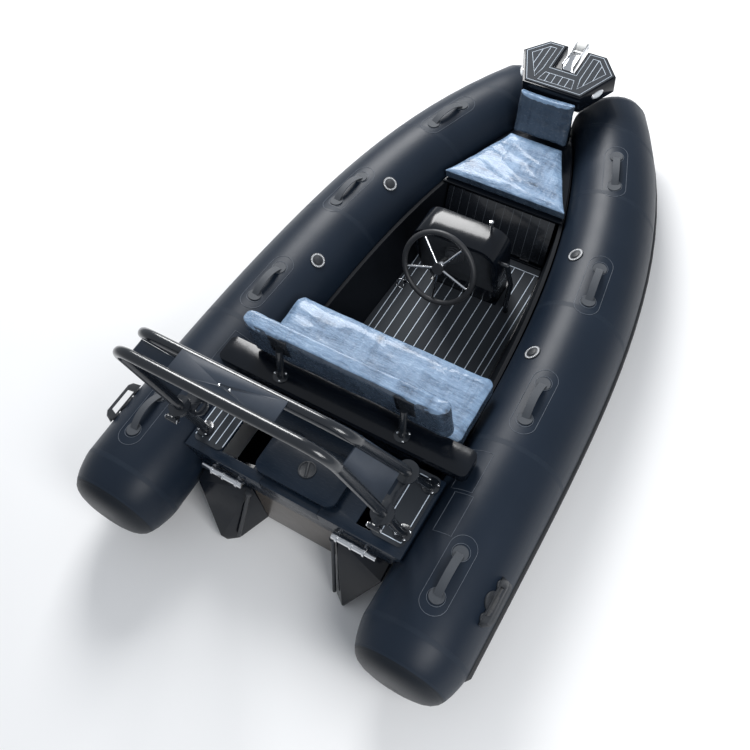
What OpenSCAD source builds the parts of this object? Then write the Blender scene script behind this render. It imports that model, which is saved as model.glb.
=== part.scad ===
// Small rigid inflatable tender with a steering console, two seats and a folding stern arch.
// X is to starboard, Y is forward, Z is up. The origin is on the centreline, at the waterline,
// halfway along the boat. All sizes are in millimetres.

/* [Hull and tubes] */
// Length over all, from the tube cones to the bow roller
boat_len = 3340; // [2900:5:4200]
// Distance between the centrelines of the two tubes amidships
tube_spacing = 1452; // [1380:2:1800]
// Diameter of each tube amidships
tube_dia = 470; // [400:2:500]
// Diameter of each tube at the bow
tube_bow_dia = 400; // [330:2:440]
// Height of the tube centrelines above the water
tube_height = 290; // [260:2:330]
// How far the tube centrelines drop between the stern and amidships
tube_bow_drop = 56; // [0:1:70]
// How far the tubes run aft of the transom
tube_overhang = 410; // [300:5:520]
// Length of the rounded cone that closes each tube aft
cone_len = 185; // [160:5:400]
// Distance between the tube centrelines at their forward ends
tube_bow_spacing = 402; // [390:2:600]
// Height of the rub strake on the outside of each tube
strake_h = 64; // [40:2:90]
// How far the rub strake stands off the tube
strake_t = 14; // [8:1:25]
// How far the middle of the rub strake lies below the tube's centreline
strake_drop = 44; // [0:2:80]
// Depth of the keel below the water
keel_depth = 140; // [100:5:200]
// Height of the cockpit sole above the water
sole_z = 34; // [20:1:60]
// Thickness of the moulded side liners
liner_wall = 16; // [10:1:30]
// Thickness of the foam deck covering
pad_t = 6; // [4:1:12]

/* [Stern] */
// Height of the stern deck above the water
deck_z = 460; // [440:2:500]
// Depth of the stern deck moulding
deck_depth = 130; // [90:5:160]
// Length of the stern deck, fore and aft
deck_len = 378; // [330:2:420]
// Thickness of the transom
transom_t = 44; // [30:1:60]
// Height of the transom's lower edge above the water
transom_foot = 15; // [5:1:30]
// Width of the notch between the two stern lobes
notch_w = 400; // [340:5:460]
// How far the stern lobes reach aft of the transom
lobe_len = 180; // [120:5:260]
// Width of the hatch in the stern deck
hatch_w = 400; // [300:5:420]
// Length of the hatch in the stern deck
hatch_len = 226; // [180:2:260]

/* [Arch] */
// Height of the arch above the stern deck
arch_h = 1000; // [800:10:1200]
// Diameter of the arch tube
arch_tube = 40; // [32:1:50]
// Width of the arch at its feet, between tube centres
arch_foot_w = 994; // [900:2:1040]
// Width of the arch at the top, between tube centres
arch_top_w = 850; // [700:5:960]
// Height of the folding knuckle above the stern deck
knuckle_h = 330; // [250:5:400]
// Diameter of the arch's hinge pins
arch_pin = 12; // [8:1:16]

/* [Aft bench] */
// Length of the bench cushion, across the boat
bench_w = 1050; // [900:5:1100]
// Depth of the bench cushion, fore and aft
bench_d = 370; // [320:5:450]
// Height of the bench cushion's top above the water
bench_z = 490; // [460:2:540]
// Thickness of the bench cushion
bench_t = 80; // [50:2:110]
// Height of the backrest cushion
backrest_h = 245; // [200:5:320]
// Thickness of the backrest cushion
backrest_t = 70; // [50:2:100]
// Length of the glossy beam behind the bench
beam_w = 1240; // [1100:5:1300]
// Diameter of the backrest posts
post_dia = 32; // [25:1:40]

/* [Console] */
// Width of the console
console_w = 450; // [380:5:560]
// Distance from the transom to the console's aft foot
console_at = 1530; // [1400:5:1650]
// Height of the console's hood above the water
console_z = 542; // [500:2:640]
// Outer diameter of the steering wheel
wheel_dia = 385; // [320:1:400]
// Diameter of the steering wheel's rim
wheel_rim = 27; // [20:1:36]
// Angle of the steering shaft above level
wheel_tilt = 25; // [10:1:50]
// Diameter of the steering shaft
shaft_dia = 19; // [15:1:25]

/* [Bow] */
// Length of the bow seat cushion, fore and aft
bow_seat_len = 420; // [340:5:480]
// Width of the bow seat cushion at its aft edge
bow_seat_w = 704; // [600:2:720]
// Width of the bow seat cushion at its forward edge
bow_seat_nose_w = 310; // [260:2:340]
// Height of the bow seat cushion's top above the water
bow_seat_z = 365; // [340:2:400]
// Thickness of the bow seat cushion
bow_seat_t = 60; // [40:2:80]
// Height of the bow back cushion
bow_back_h = 230; // [180:5:260]
// Height of the bow step's top above the water
step_z = 607; // [580:2:660]
// Depth of the bow step moulding
step_depth = 92; // [70:2:120]
// Diameter of the bow roller
roller_dia = 50; // [40:1:60]
// Length of the bow roller
roller_len = 52; // [40:1:60]
// Diameter of the bow roller's pin
roller_pin = 10; // [8:1:12]

/* [Hidden] */
$fn = 48;
gap = 0.3;                                  // seat gap between a fitting and the tube under it

tube_r = tube_dia / 2;
tube_half = tube_spacing / 2;
stern_y = -boat_len / 2;
transom_y = stern_y + tube_overhang;
bow_y = boat_len / 2;

function station(y) = transom_y + y;        // a place measured forward from the transom
function from_bow(y) = bow_y - y;           // a place measured aft from the bow roller

// ---- the tubes' run in plan ----
bow_tube_y = from_bow(90);                  // forward end of the tubes, under the bow step
curve_from = transom_y - 500;               // where the tubes begin to close in
curve_power = 4.2;                          // how late the tubes close in
tube_bow_r = tube_bow_dia / 2;
tube_nose = 90;                             // length of the rounded forward end
tube_sides = 32;

function run(y) = max(0, (y - curve_from) / (bow_tube_y - curve_from));
function tube_x(y) = tube_half - (tube_half - tube_bow_spacing / 2) * pow(run(y), curve_power);
drop_from = 0.12;                           // share of the run where the drop starts
drop_over = 0.5;                            // share of the run that it takes
function tube_z(y) =
    let (t = min(1, max(0, (run(y) - drop_from) / drop_over)))
    tube_height - tube_bow_drop * t * t * (3 - 2 * t);
function tube_rad(y) = tube_r - (tube_r - tube_bow_r) * pow(run(y), 4);
function tube_slope(y) = (tube_x(y + 5) - tube_x(y - 5)) / 10;
function tube_yaw(y) = -atan(tube_slope(y));
function tube_side(y) = [cos(tube_yaw(y)), sin(tube_yaw(y))];

// Profile of the stern cone: share of its length, and of the tube's radius. A tapered panel runs
// from the first seam to the second, and a blunt cap closes it
cone_profile = [[0, 0], [0.008, 0.26], [0.03, 0.46], [0.07, 0.61], [0.13, 0.72], [0.21, 0.8],
    [0.33, 0.86], [0.5, 0.915], [0.7, 0.96], [0.88, 0.99], [1, 1]];
cone_inverse = [for (p = cone_profile) [p[1], p[0]]];

// Radius of the rounded ends, as a share of the tube's own radius
function end_round(y) =
    y < stern_y + cone_len ? lookup((y - stern_y) / cone_len, cone_profile) :
    y > bow_tube_y - tube_nose ? sqrt(max(0, 1 - pow((y - bow_tube_y + tube_nose) / tube_nose, 2))) : 1;

tube_stations = concat(
    [for (i = [1 : len(cone_profile) - 2]) stern_y + cone_len * cone_profile[i][0]],
    [for (i = [0 : 26]) stern_y + cone_len + (bow_tube_y - tube_nose - stern_y - cone_len) * i / 26],
    [for (a = [20, 40, 60, 75, 86]) bow_tube_y - tube_nose + tube_nose * sin(a)]);

// Half-width of the space between the tubes at height z, less a seat clearance
tube_clear = 1.5;
function inner_station(y, reach, steps) =
    steps == 0 ? y : y + reach * sin(tube_yaw(inner_station(y, reach, steps - 1)));
function between_tubes(y, z) =
    let (reach = sqrt(max(0, pow(tube_rad(y), 2) - pow(z - tube_z(y), 2))), t = inner_station(y, reach, 4))
    tube_x(t) - reach * cos(tube_yaw(t)) - tube_clear;

// ---- general shapes ----
function flatten(lists) = [for (list = lists) for (item = list) item];

// Closed solid through a row of rings that run forward, each turning from +X towards +Z
module loft(rings) {
    n = len(rings[0]);
    last = len(rings) - 1;
    polyhedron(
        points = flatten(rings),
        faces = concat(
            [[for (k = [n - 1 : -1 : 0]) k]],
            [[for (k = [0 : n - 1]) last * n + k]],
            [for (i = [0 : last - 1], k = [0 : n - 1])
                [i * n + k, i * n + (k + 1) % n, (i + 1) * n + (k + 1) % n]],
            [for (i = [0 : last - 1], k = [0 : n - 1])
                [i * n + k, (i + 1) * n + (k + 1) % n, (i + 1) * n + k]]));
}

// Round bar between two points
module bar(a, b, d) {
    v = b - a;
    length = norm(v);
    translate(a)
        rotate([0, acos(v[2] / length), atan2(v[1], v[0])])
            cylinder(d = d, h = length);
}

// Bent round bar through a row of points
module rod(points, d) {
    for (i = [0 : len(points) - 2])
        bar(points[i], points[i + 1], d);
    for (i = [1 : len(points) - 2])
        translate(points[i]) sphere(d = d);
}

// Slab with rounded corners, from z = 0 up
module rounded_slab(width, length, height, radius) {
    linear_extrude(height)
        hull()
            for (x = [-1, 1], y = [-1, 1])
                translate([x * (width / 2 - radius), y * (length / 2 - radius)])
                    circle(radius);
}

module both_sides() {
    children();
    mirror([1, 0, 0]) children();
}

// Moves its children to the surface of the starboard tube, at station y and angle a above level,
// with Z pointing off the tube and Y along it
patch_gap = 0.5;
module on_tube(y, a) {
    rise = ((tube_z(y + 5) - tube_z(y - 5)) * sin(a) + tube_rad(y + 5) - tube_rad(y - 5)) / 10;
    translate([tube_x(y), y, tube_z(y)])
        rotate([0, 0, tube_yaw(y)])
            rotate([0, 90 - a, 0])
                translate([0, 0, tube_rad(y) + patch_gap])
                    rotate([atan(rise), 0, 0])
                        children();
}

// Round pad bent to the tube's surface; its seat is concave across the tube
module tube_patch(y, d, t) {
    r = tube_rad(y);
    difference() {
        translate([0, 0, -r * 0.12]) cylinder(d = d, h = r * 0.12 + t);
        translate([0, 300, -r - patch_gap]) rotate([90, 0, 0]) cylinder(r = r + patch_gap, h = 600, $fn = 360);
    }
}

// ---- hull ----
hull_fwd = from_bow(170);
function keel_z(y) = -keel_depth
    + (keel_depth + sole_z - 40) * pow(max(0, (y - station(1300)) / (hull_fwd - station(1300))), 3);
function chine_x(y) = max(24, between_tubes(y, tube_z(y)) + 8);
function hull_ring(y) = [
    [0, y, keel_z(y)],
    [chine_x(y), y, sole_z - 30],
    [chine_x(y), y, sole_z],
    [-chine_x(y), y, sole_z],
    [-chine_x(y), y, sole_z - 30]];
keel_from = 60;                             // how far forward of the transom the keel starts
hull_stations = [for (i = [0 : 18]) station(keel_from) + (hull_fwd - station(keel_from)) * i / 18];

// Corners of a stern lobe: off the notch's side, off the transom, and above the water
lobe_points = [
    [0, 0, 15], [65, 32 - lobe_len, 0], [107, -lobe_len, 0], [121, -lobe_len - 8, 46],
    [262, -70, 272], [15, -6, 310],
    [0, 100, 15], [0, 100, 310], [262, 60, 310], [262, 100, 60], [110, 100, -36]];
lobe_round = 8;

module stern_lobe() {
    hull()
        for (p = lobe_points)
            translate([notch_w / 2 + p[0] + lobe_round, station(p[1]) + lobe_round, p[2]])
                sphere(lobe_round, $fn = 16);
}

// Bow block between the tubes, under the bow step
stem_from = from_bow(400);
stem_to = from_bow(146);
stem_angles = [230, 220, 210, 200, 192, 184, 176];
stem_last = len(stem_angles) - 1;
pedestal_half = 136;                        // half-width of the pedestal that carries the bow step
step_foot = step_z - pad_t - step_depth;
function stem_edge(y, a) =
    let (z = tube_z(y) + tube_rad(y) * sin(a))
    [max(4, between_tubes(y, z)), y, z];
function stem_ring(y) =
    let (side = [for (a = stem_angles) stem_edge(y, a)],
         neck = min(0.9 * side[stem_last][0], pedestal_half))
    concat(
        [[chine_x(y), y, sole_z]],
        side,
        [[neck, y, side[stem_last][2] + 4], [neck, y, step_foot - gap]],
        [[-neck, y, step_foot - gap], [-neck, y, side[stem_last][2] + 4]],
        [for (i = [stem_last : -1 : 0]) [-side[i][0], y, side[i][2]]],
        [[-chine_x(y), y, sole_z]]);

module boat_hull() {
    color("#15171a") {
        loft([for (y = hull_stations) hull_ring(y)]);
        both_sides() stern_lobe();
        loft([for (i = [0 : 6]) stem_ring(stem_from + (stem_to - stem_from) * i / 6)]);
    }
}

module transom() {
    color("#1b1c1e")
        translate([-notch_w / 2 + gap, station(0), transom_foot])
            cube([notch_w - 2 * gap, transom_t, deck_z - deck_depth - gap - transom_foot]);
}

// Moulded side between the sole and the tube; its foot runs inboard as it drops
locker_t = 12;                              // thickness of the bow locker's top
liner_top = bow_seat_z - bow_seat_t - locker_t - 3 * gap;
liner_from = station(deck_len) + 2;
liner_to = stem_from - 1;
function liner_inset(y) = max(40, 115 - 150 * pow(run(y), 3));
function liner_face(y, z) =
    let (edge = chine_x(y) - 10, t = (z - sole_z) / (liner_top - sole_z))
    edge - liner_wall - (1 - t) * (liner_inset(y) - liner_wall);
function liner_ring(y) = concat(
    [[liner_face(y, sole_z), y, sole_z + gap], [chine_x(y) - 10, y, sole_z + gap]],
    [for (a = [206, 196, 186]) stem_edge(y, a)],
    [[stem_edge(y, 183)[0], y, liner_top]],
    [[liner_face(y, liner_top), y, liner_top]]);

module starboard_liner() {
    color("#23272c")
        loft([for (i = [0 : 20]) liner_ring(liner_from + (liner_to - liner_from) * i / 20)]);
}
module port_liner() mirror([1, 0, 0]) starboard_liner();

// Foam covering of the cockpit sole, from the bench to the bow locker
pad_from = station(820);
pad_to = station(1835);
module sole_pad() {
    edge = [for (i = [0 : 12]) let (y = pad_from + (pad_to - pad_from) * i / 12) [liner_face(y, sole_z) - 6, y]];
    color("#2d3238")
        translate([0, 0, sole_z + gap])
            linear_extrude(pad_t)
                difference() {
                    polygon(concat(edge, [for (i = [12 : -1 : 0]) [-edge[i][0], edge[i][1]]]));
                    translate([-console_foot_w / 2 - 2, station(console_at) - 2])
                        square([console_foot_w + 4, console_foot_d + 4]);
                }
}

// ---- tubes ----
function tube_ring(y) =
    let (side = tube_side(y), r = tube_rad(y) * end_round(y))
    [for (k = [0 : tube_sides - 1]) let (a = 360 * k / tube_sides)
        [tube_x(y) + r * cos(a) * side[0], y + r * cos(a) * side[1], tube_z(y) + r * sin(a)]];

module starboard_tube() {
    color("#1e2126") loft([for (y = tube_stations) tube_ring(y)]);
}
module port_tube() mirror([1, 0, 0]) starboard_tube();

// The strake runs aft along the outside of the tube, round the cone, and a little way in again.
// Each corner of its section keeps its own height, and stands off the tube there
strake_to = 158;                            // how far round the cone it goes, in degrees
strake_section = [[0, 0.5], [0.6, 0.47], [1, 0.36], [0.7, 0.17], [1, 0], [0.7, -0.17], [1, -0.36],
    [0.6, -0.47], [0, -0.5]];
function strake_level(c) = c[1] * strake_h - strake_drop;
function strake_off(c) = 0.5 + c[0] * strake_t;
function side_point(y, z, off) =
    let (side = tube_side(y), r = sqrt(pow(tube_rad(y), 2) - z * z) + off)
    [tube_x(y) + r * side[0], y + r * side[1]];
function cone_point(a, z) =
    let (x = sqrt(tube_r * tube_r - z * z) * cos(a))
    [tube_x(stern_y) + x, stern_y + cone_len * lookup(norm([x, z]) / tube_r, cone_inverse)];
function cone_normal(a) =
    let (v = cone_point(a + 5, -strake_drop) - cone_point(a - 5, -strake_drop))
    [-v[1], v[0]] / -norm(v);
strake_y = [for (i = [22 : -1 : 0]) stern_y + cone_len + (from_bow(330) - stern_y - cone_len) * i / 22];
module starboard_rub_strake() {
    rings = concat(
        [for (y = strake_y) [for (c = strake_section)
            concat(side_point(y, strake_level(c), strake_off(c)), tube_z(y) + strake_level(c))]],
        [for (a = [14 : 12 : strake_to]) [for (c = strake_section)
            concat(cone_point(a, strake_level(c)) + cone_normal(a) * strake_off(c), tube_z(stern_y) + strake_level(c))]]);
    color("#101113") loft(rings);
}
module port_rub_strake() mirror([1, 0, 0]) starboard_rub_strake();

// Air valves: station and angle above level, on the inboard side of each tube
valve_dia = 76;
valves = [[station(1128), 123], [station(1735), 121]];
valve_flange = 3;
module air_valve(y) {
    tube_patch(y, valve_dia, valve_flange);
    translate([0, 0, valve_flange - 1]) cylinder(d = valve_dia * 0.5, h = 5);
}
module air_valves() {
    color("#1a1c1f")
        both_sides()
            for (v = valves)
                on_tube(v[0], v[1]) air_valve(v[0]);
}

// Webbing grab handles: a strap that stands up between two round end patches
handle_span = 190;
handle_rise = 34;
handles = [[station(25), 85], [station(875), 94], [station(1565), 87], [station(2270), 93]];
strap_w = 34;
strap_t = 4;
module strap_loop() {
    r_arc = (pow(handle_span / 2, 2) + pow(handle_rise, 2)) / (2 * handle_rise);
    half = asin(handle_span / 2 / r_arc);
    translate([-strap_w / 2, 0, 3.5 + handle_rise - r_arc])
        rotate([0, 90, 0])
            rotate([0, 0, 180 - half])
                rotate_extrude(angle = 2 * half)
                    translate([r_arc - strap_t, 0]) square([strap_t, strap_w]);
}
module starboard_strap_handles() {
    color("#26292d")
        for (h = handles) {
            on_tube(h[0], h[1]) strap_loop();
            for (s = [-1, 1])
                on_tube(h[0] + s * handle_span / 2, h[1]) tube_patch(h[0] + s * handle_span / 2, 64, 3);
        }
}
module port_strap_handles() mirror([1, 0, 0]) starboard_strap_handles();

// Rigid carry handle low on the outside of each tube's stern
carry_len = 214;
carry_rise = 46;
carry_bar = 13;
carry_w = 24;
carry_at = [station(40), 33];
module carry_handle(y) {
    foot = carry_len / 2;
    tube_patch(y, 84, 4);
    for (s = [-1, 1])
        translate([0, s * (foot - 34), 0]) tube_patch(y, 44, 5);
    translate([-carry_w / 2, 0, 3])
        rotate([90, 0, 90])
            linear_extrude(carry_w)
                difference() {
                    polygon([[-foot, 0], [foot, 0], [foot - 14, carry_rise - 12], [foot - 34, carry_rise],
                        [34 - foot, carry_rise], [14 - foot, carry_rise - 12]]);
                    polygon([[40 - foot, 8], [foot - 40, 8], [foot - 48, carry_rise - carry_bar],
                        [48 - foot, carry_rise - carry_bar]]);
                }
}
module carry_handles() {
    color("#1a1c1f")
        both_sides() on_tube(carry_at[0], carry_at[1]) carry_handle(carry_at[0]);
}

// ---- stern deck ----
deck_levels = [0, 20, 40, 60, 80, 105, deck_depth];
deck_side = [for (d = deck_levels)
    [min(between_tubes(transom_y, deck_z - d), between_tubes(station(deck_len), deck_z - d))
        - (d == 0 ? 22 : 1), deck_z - d]];
deck_wall = 14;
hatch_at = station(150);
hatch_rise = 30;
coaming = 18;
wells = [[-290, 170, 190], [340, 66, 110]];   // centre, width and length of the two deck wells
well_depth = 60;
cap_w = 290;
cap_len = 40;
cap_h = 60;
hinge_pin = 6;
hinge_x = 120;
hinge_y = hatch_at + hatch_len / 2 + 10;
hinge_z = deck_z + 7;
hinge_w = 40;

module stern_deck() {
    color("#20242a")
        difference() {
            union() {
                translate([0, station(deck_len), 0])
                    rotate([90, 0, 0])
                        linear_extrude(deck_len)
                            polygon(concat(deck_side, [for (i = [len(deck_side) - 1 : -1 : 0])
                                [-deck_side[i][0], deck_side[i][1]]]));
                for (x = [-hinge_x, hinge_x], s = [-1, 1])
                    translate([x + s * (hinge_w / 2 + 4) - 3, hinge_y - 5, deck_z - 1])
                        cube([6, 10, 13]);
                for (x = [-hinge_x, hinge_x])
                    translate([x - hinge_w / 2 - 4, hinge_y, hinge_z])
                        rotate([0, 90, 0]) cylinder(d = hinge_pin, h = hinge_w + 8);
            }
            translate([-470, station(deck_wall + 30), deck_z - deck_depth - 1])
                cube([940, deck_len - 2 * deck_wall - 30, deck_depth - deck_wall + 1]);
            translate([0, hatch_at, deck_z - deck_depth])
                rounded_slab(hatch_w - 2 * coaming, hatch_len - 2 * coaming, deck_depth + 10, 40);
            for (w = wells)
                translate([w[0] - w[1] / 2, station(46), deck_z - well_depth])
                    cube([w[1], w[2], well_depth + 1]);
            translate([-cap_w / 2 - 1, station(-1), deck_z - cap_h])
                cube([cap_w + 2, cap_len + 2, cap_h + 1]);
        }
}

module transom_cap() {
    color("#20242a")
        translate([-cap_w / 2, station(0), deck_z - cap_h + gap])
            cube([cap_w, cap_len, cap_h - gap]);
}

module hatch_lid() {
    color("#262b33")
        difference() {
            union() {
                translate([0, hatch_at, deck_z + gap]) rounded_slab(hatch_w, hatch_len, hatch_rise, 45);
                for (x = [-hinge_x, hinge_x])
                    translate([x - hinge_w / 2, hinge_y - 14, deck_z + gap])
                        cube([hinge_w, 14, 12]);
                for (x = [-hinge_x, hinge_x])
                    translate([x - hinge_w / 2, hinge_y, hinge_z])
                        rotate([0, 90, 0]) cylinder(d = 12, h = hinge_w);
            }
            for (x = [-hinge_x, hinge_x])
                translate([x - hinge_w / 2 - 1, hinge_y, hinge_z])
                    rotate([0, 90, 0]) cylinder(d = hinge_pin + pin_play, h = hinge_w + 2);
        }
}

module hatch_latch() {
    color("#111214")
        translate([15, hatch_at - 10, deck_z + gap + hatch_rise])
            rotate([0, 0, 20]) {
                difference() {
                    cylinder(d = 78, h = 5);
                    translate([0, 0, 2]) cylinder(d = 66, h = 5);
                }
                translate([-6, -33, 1]) cube([12, 66, 6]);
            }
}

module deck_pads() {
    color("#2d3238")
        for (s = [-1, 1])
            translate([s * 450, station(210), deck_z + gap])
                rounded_slab(150, 340, pad_t - gap, 25);
}

// Bars that brace the deck's edge down to the lobes
strut_dia = 18;
strut_out = 17.2;                           // from the motor's notch to the strut's head
strut_aft = -22.8;                          // place of the head, from the transom
strut_spread = 44;
strut_run = 125;
module stern_struts() {
    top = [notch_w / 2 + strut_out, station(strut_aft), deck_z - deck_depth - gap];
    foot = [top[0] + strut_spread, station(strut_aft - strut_run), sole_z];
    color("#3a3a3a")
        both_sides() {
            bar(foot, top - [0, 0, 12], strut_dia);
            translate(top - [0, 0, 24]) cylinder(d = strut_dia + 10, h = 24);
        }
}

// Stowed telescopic boarding ladders, under the deck's aft edge
ladder_len = 210;
module ladders() {
    y = station(-26);
    z = deck_z - deck_depth + 66;
    color("#b9bcc0")
        both_sides() {
            translate([notch_w / 2 + 30, y, z]) rotate([0, 90, 0]) cylinder(d = 32, h = ladder_len - 60);
            translate([notch_w / 2 + 30 + ladder_len - 60, y, z]) rotate([0, 90, 0]) cylinder(d = 25, h = 60);
            for (x = [20, 90, 150])
                translate([notch_w / 2 + 30 + x, y, z]) rotate([0, 90, 0]) cylinder(d = 40, h = 10);
            for (x = [24, 154])
                translate([notch_w / 2 + 30 + x - 8, y, z - 14]) cube([16, station(0) - y - gap, 28]);
        }
}

// ---- arch ----
// A hoop is a bent tube in its own plane; both hoops lean aft from their feet
arch_bend = 110;
arch_base = deck_z + pad_t;
aft_foot_y = station(100);
fwd_foot_y = station(330);
aft_top_y = station(-98);
fwd_top_y = station(10);
aft_lean = atan((aft_foot_y - aft_top_y) / arch_h);
fwd_lean = atan((fwd_foot_y - fwd_top_y) / (arch_h - 40));
aft_leg = arch_h / cos(aft_lean);
fwd_leg = (arch_h - 40) / cos(fwd_lean);
foot_half = arch_foot_w / 2;
top_half = arch_top_w / 2;
knuckle_t = 8;
knuckle_d = 92;

// Hoop of tube diameter d from height w0 above its foot, over the top; half widths at foot and top
module hoop(leg, w0, d) {
    lean_in = atan((foot_half - top_half) / leg);
    cut = arch_bend * tan((90 - lean_in) / 2);
    u = [-sin(lean_in), 0, cos(lean_in)];
    full = norm([foot_half - top_half, leg]);
    leg_end = [foot_half, 0, 0] + u * (full - cut);
    centre = leg_end + arch_bend * [-cos(lean_in), 0, -sin(lean_in)];
    both_sides() {
        bar([foot_half, 0, 0] + u * (w0 / cos(lean_in)), leg_end + u * 0.5, d);
        translate(centre)
            rotate([90, 0, 0])
                rotate([0, 0, lean_in])
                    rotate_extrude(angle = 90 - lean_in)
                        translate([arch_bend, 0]) circle(d = d);
    }
    translate([-centre[0], 0, centre[2] + arch_bend])
        rotate([0, 90, 0]) cylinder(d = d, h = 2 * centre[0]);
}
module lean_aft(y, lean) translate([0, y, arch_base]) rotate([lean, 0, 0]) children();
function leg_at(leg, w) = foot_half - (foot_half - top_half) * w / leg;

aft_knuckle_w = knuckle_h / cos(aft_lean);
fwd_knuckle_w = knuckle_h / cos(fwd_lean);
aft_knuckle_x = leg_at(aft_leg, aft_knuckle_w);
fwd_knuckle_x = leg_at(fwd_leg, fwd_knuckle_w);
lug_w = 26;
eye_x = 64;
eye_y = 40;
eye_d = 76;
eye_hole = 18;
eye_slot = 26;
pin_play = 0.16;                            // diametral clearance of every turning pin
// The fold axis runs across the boat behind the aft knuckles
fold_back = knuckle_d / 2 + 14;
fold_y = aft_foot_y - sin(aft_lean) * aft_knuckle_w - cos(aft_lean) * fold_back;
fold_z = arch_base + cos(aft_lean) * aft_knuckle_w - sin(aft_lean) * fold_back;

// Lower leg: a level foot flange on the deck pad, the stub, and the knuckle's lower disc
module arch_stub(y, lean, w, x) {
    translate([foot_half, y, arch_base + gap]) cylinder(d = 76, h = 8);
    lean_aft(y, lean) {
        bar([foot_half, 0, 7], [x, 0, w - 4], arch_tube);
        translate([x, 0, w - knuckle_t - 0.5]) cylinder(d = knuckle_d, h = knuckle_t);
    }
}

// Ears of the folding hinge, drilled across the boat for the pin
module hinge_ear(x, w) {
    lean_aft(aft_foot_y, aft_lean)
        translate([x - w / 2, -fold_back, aft_knuckle_w])
            difference() {
                union() {
                    rotate([0, 90, 0]) cylinder(d = 24, h = w);
                    children();
                }
                translate([-1, 0, 0]) rotate([0, 90, 0]) cylinder(d = arch_pin, h = w + 2);
            }
}

module arch_feet() {
    color("#17181b")
        both_sides() {
            arch_stub(aft_foot_y, aft_lean, aft_knuckle_w, aft_knuckle_x);
            arch_stub(fwd_foot_y, fwd_lean, fwd_knuckle_w, fwd_knuckle_x);
            for (s = [-1, 1])
                hinge_ear(aft_knuckle_x + s * (lug_w / 2 + 6.5), 12)
                    translate([0, -4, -8.5]) cube([12, 30, 8]);
            // level link plate between the two legs, and the tow eye inboard of it
            translate([aft_knuckle_x, knuckle_y, arch_base + knuckle_h - link_drop - knuckle_t])
                difference() {
                    union() {
                        translate([-16, 0, 0]) cube([32, link_len, knuckle_t]);
                        translate([-eye_x, eye_y, 0]) cylinder(d = eye_d, h = knuckle_t);
                        translate([-eye_x, eye_y - eye_d / 2, 0]) cube([eye_x, eye_d, knuckle_t]);
                    }
                    for (s = [-1, 1])
                        translate([-eye_x, eye_y + s * eye_slot / 2, -1])
                            cylinder(d = eye_hole, h = knuckle_t + 2);
                    translate([-eye_x - eye_hole / 2, eye_y - eye_slot / 2, -1])
                        cube([eye_hole, eye_slot, knuckle_t + 2]);
                }
        }
}
link_drop = 17;                             // clears the tilted upper discs of both knuckles
knuckle_y = aft_foot_y - tan(aft_lean) * knuckle_h;
link_len = fwd_foot_y - tan(fwd_lean) * knuckle_h - knuckle_y;

module arch_frame() {
    color("#1c1e22") {
        lean_aft(aft_foot_y, aft_lean) hoop(aft_leg, aft_knuckle_w + 4, arch_tube);
        lean_aft(fwd_foot_y, fwd_lean) hoop(fwd_leg, fwd_knuckle_w + 4, arch_tube);
        both_sides() {
            lean_aft(aft_foot_y, aft_lean)
                translate([aft_knuckle_x, 0, aft_knuckle_w + 0.5]) cylinder(d = knuckle_d, h = knuckle_t);
            lean_aft(fwd_foot_y, fwd_lean)
                translate([fwd_knuckle_x, 0, fwd_knuckle_w + 0.5]) cylinder(d = knuckle_d, h = knuckle_t);
            hinge_ear(aft_knuckle_x, lug_w)
                translate([0, -4, 0.5]) cube([lug_w, 30, 8]);
        }
    }
}

// Flat plates let in between the two hoops: one on top, drilled for a light, and one on each leg
plate_t = 5;
top_plate_half = 210;
light_hole_spacing = 42;
light_hole = 6.5;
module arch_hoops(d) {
    lean_aft(aft_foot_y, aft_lean) hoop(aft_leg, aft_knuckle_w + 4, d);
    lean_aft(fwd_foot_y, fwd_lean) hoop(fwd_leg, fwd_knuckle_w + 4, d);
}
side_plate_from = 75;
side_plate_to = 540;
plate_inset = arch_tube / 2 / cos(max(abs(aft_lean), abs(fwd_lean))) + gap; // side plates butt on the hoops
function hoop_y(foot_y, lean, z) = foot_y - tan(lean) * z;
top_z = arch_base + arch_h - 20;
light_y = (aft_top_y + fwd_top_y) / 2;
module arch_plates() {
    color("#262a30") {
        both_sides()
            translate([foot_half, 0, arch_base])
                rotate([0, -atan((foot_half - top_half) / arch_h), 0])
                    translate([-plate_t / 2, 0, 0]) rotate([90, 0, 90])
                        linear_extrude(plate_t)
                            polygon([for (q = [[0, side_plate_from], [1, side_plate_from],
                                    [1, side_plate_to], [0, side_plate_to]])
                                let (z = knuckle_h + q[1])
                                [q[0] == 0 ? hoop_y(aft_foot_y, aft_lean, z) + plate_inset
                                           : hoop_y(fwd_foot_y, fwd_lean, z) - plate_inset, z]]);
        difference() {
            translate([-top_plate_half, aft_top_y, top_z - plate_t / 2])
                cube([2 * top_plate_half, fwd_top_y - aft_top_y, plate_t]);
            arch_hoops(arch_tube + 2 * gap);
            for (s = [-1, 1])
                translate([s * light_hole_spacing / 2, light_y, top_z - plate_t])
                    cylinder(d = light_hole, h = 2 * plate_t);
        }
    }
}

module arch_pins() {
    w = lug_w + 38;
    color("#c8cacc")
        both_sides()
            translate([aft_knuckle_x - w / 2, fold_y, fold_z])
                rotate([0, 90, 0]) {
                    cylinder(d = arch_pin - pin_play, h = w);
                    cylinder(d = arch_pin + 6, h = 5);
                }
}

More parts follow.
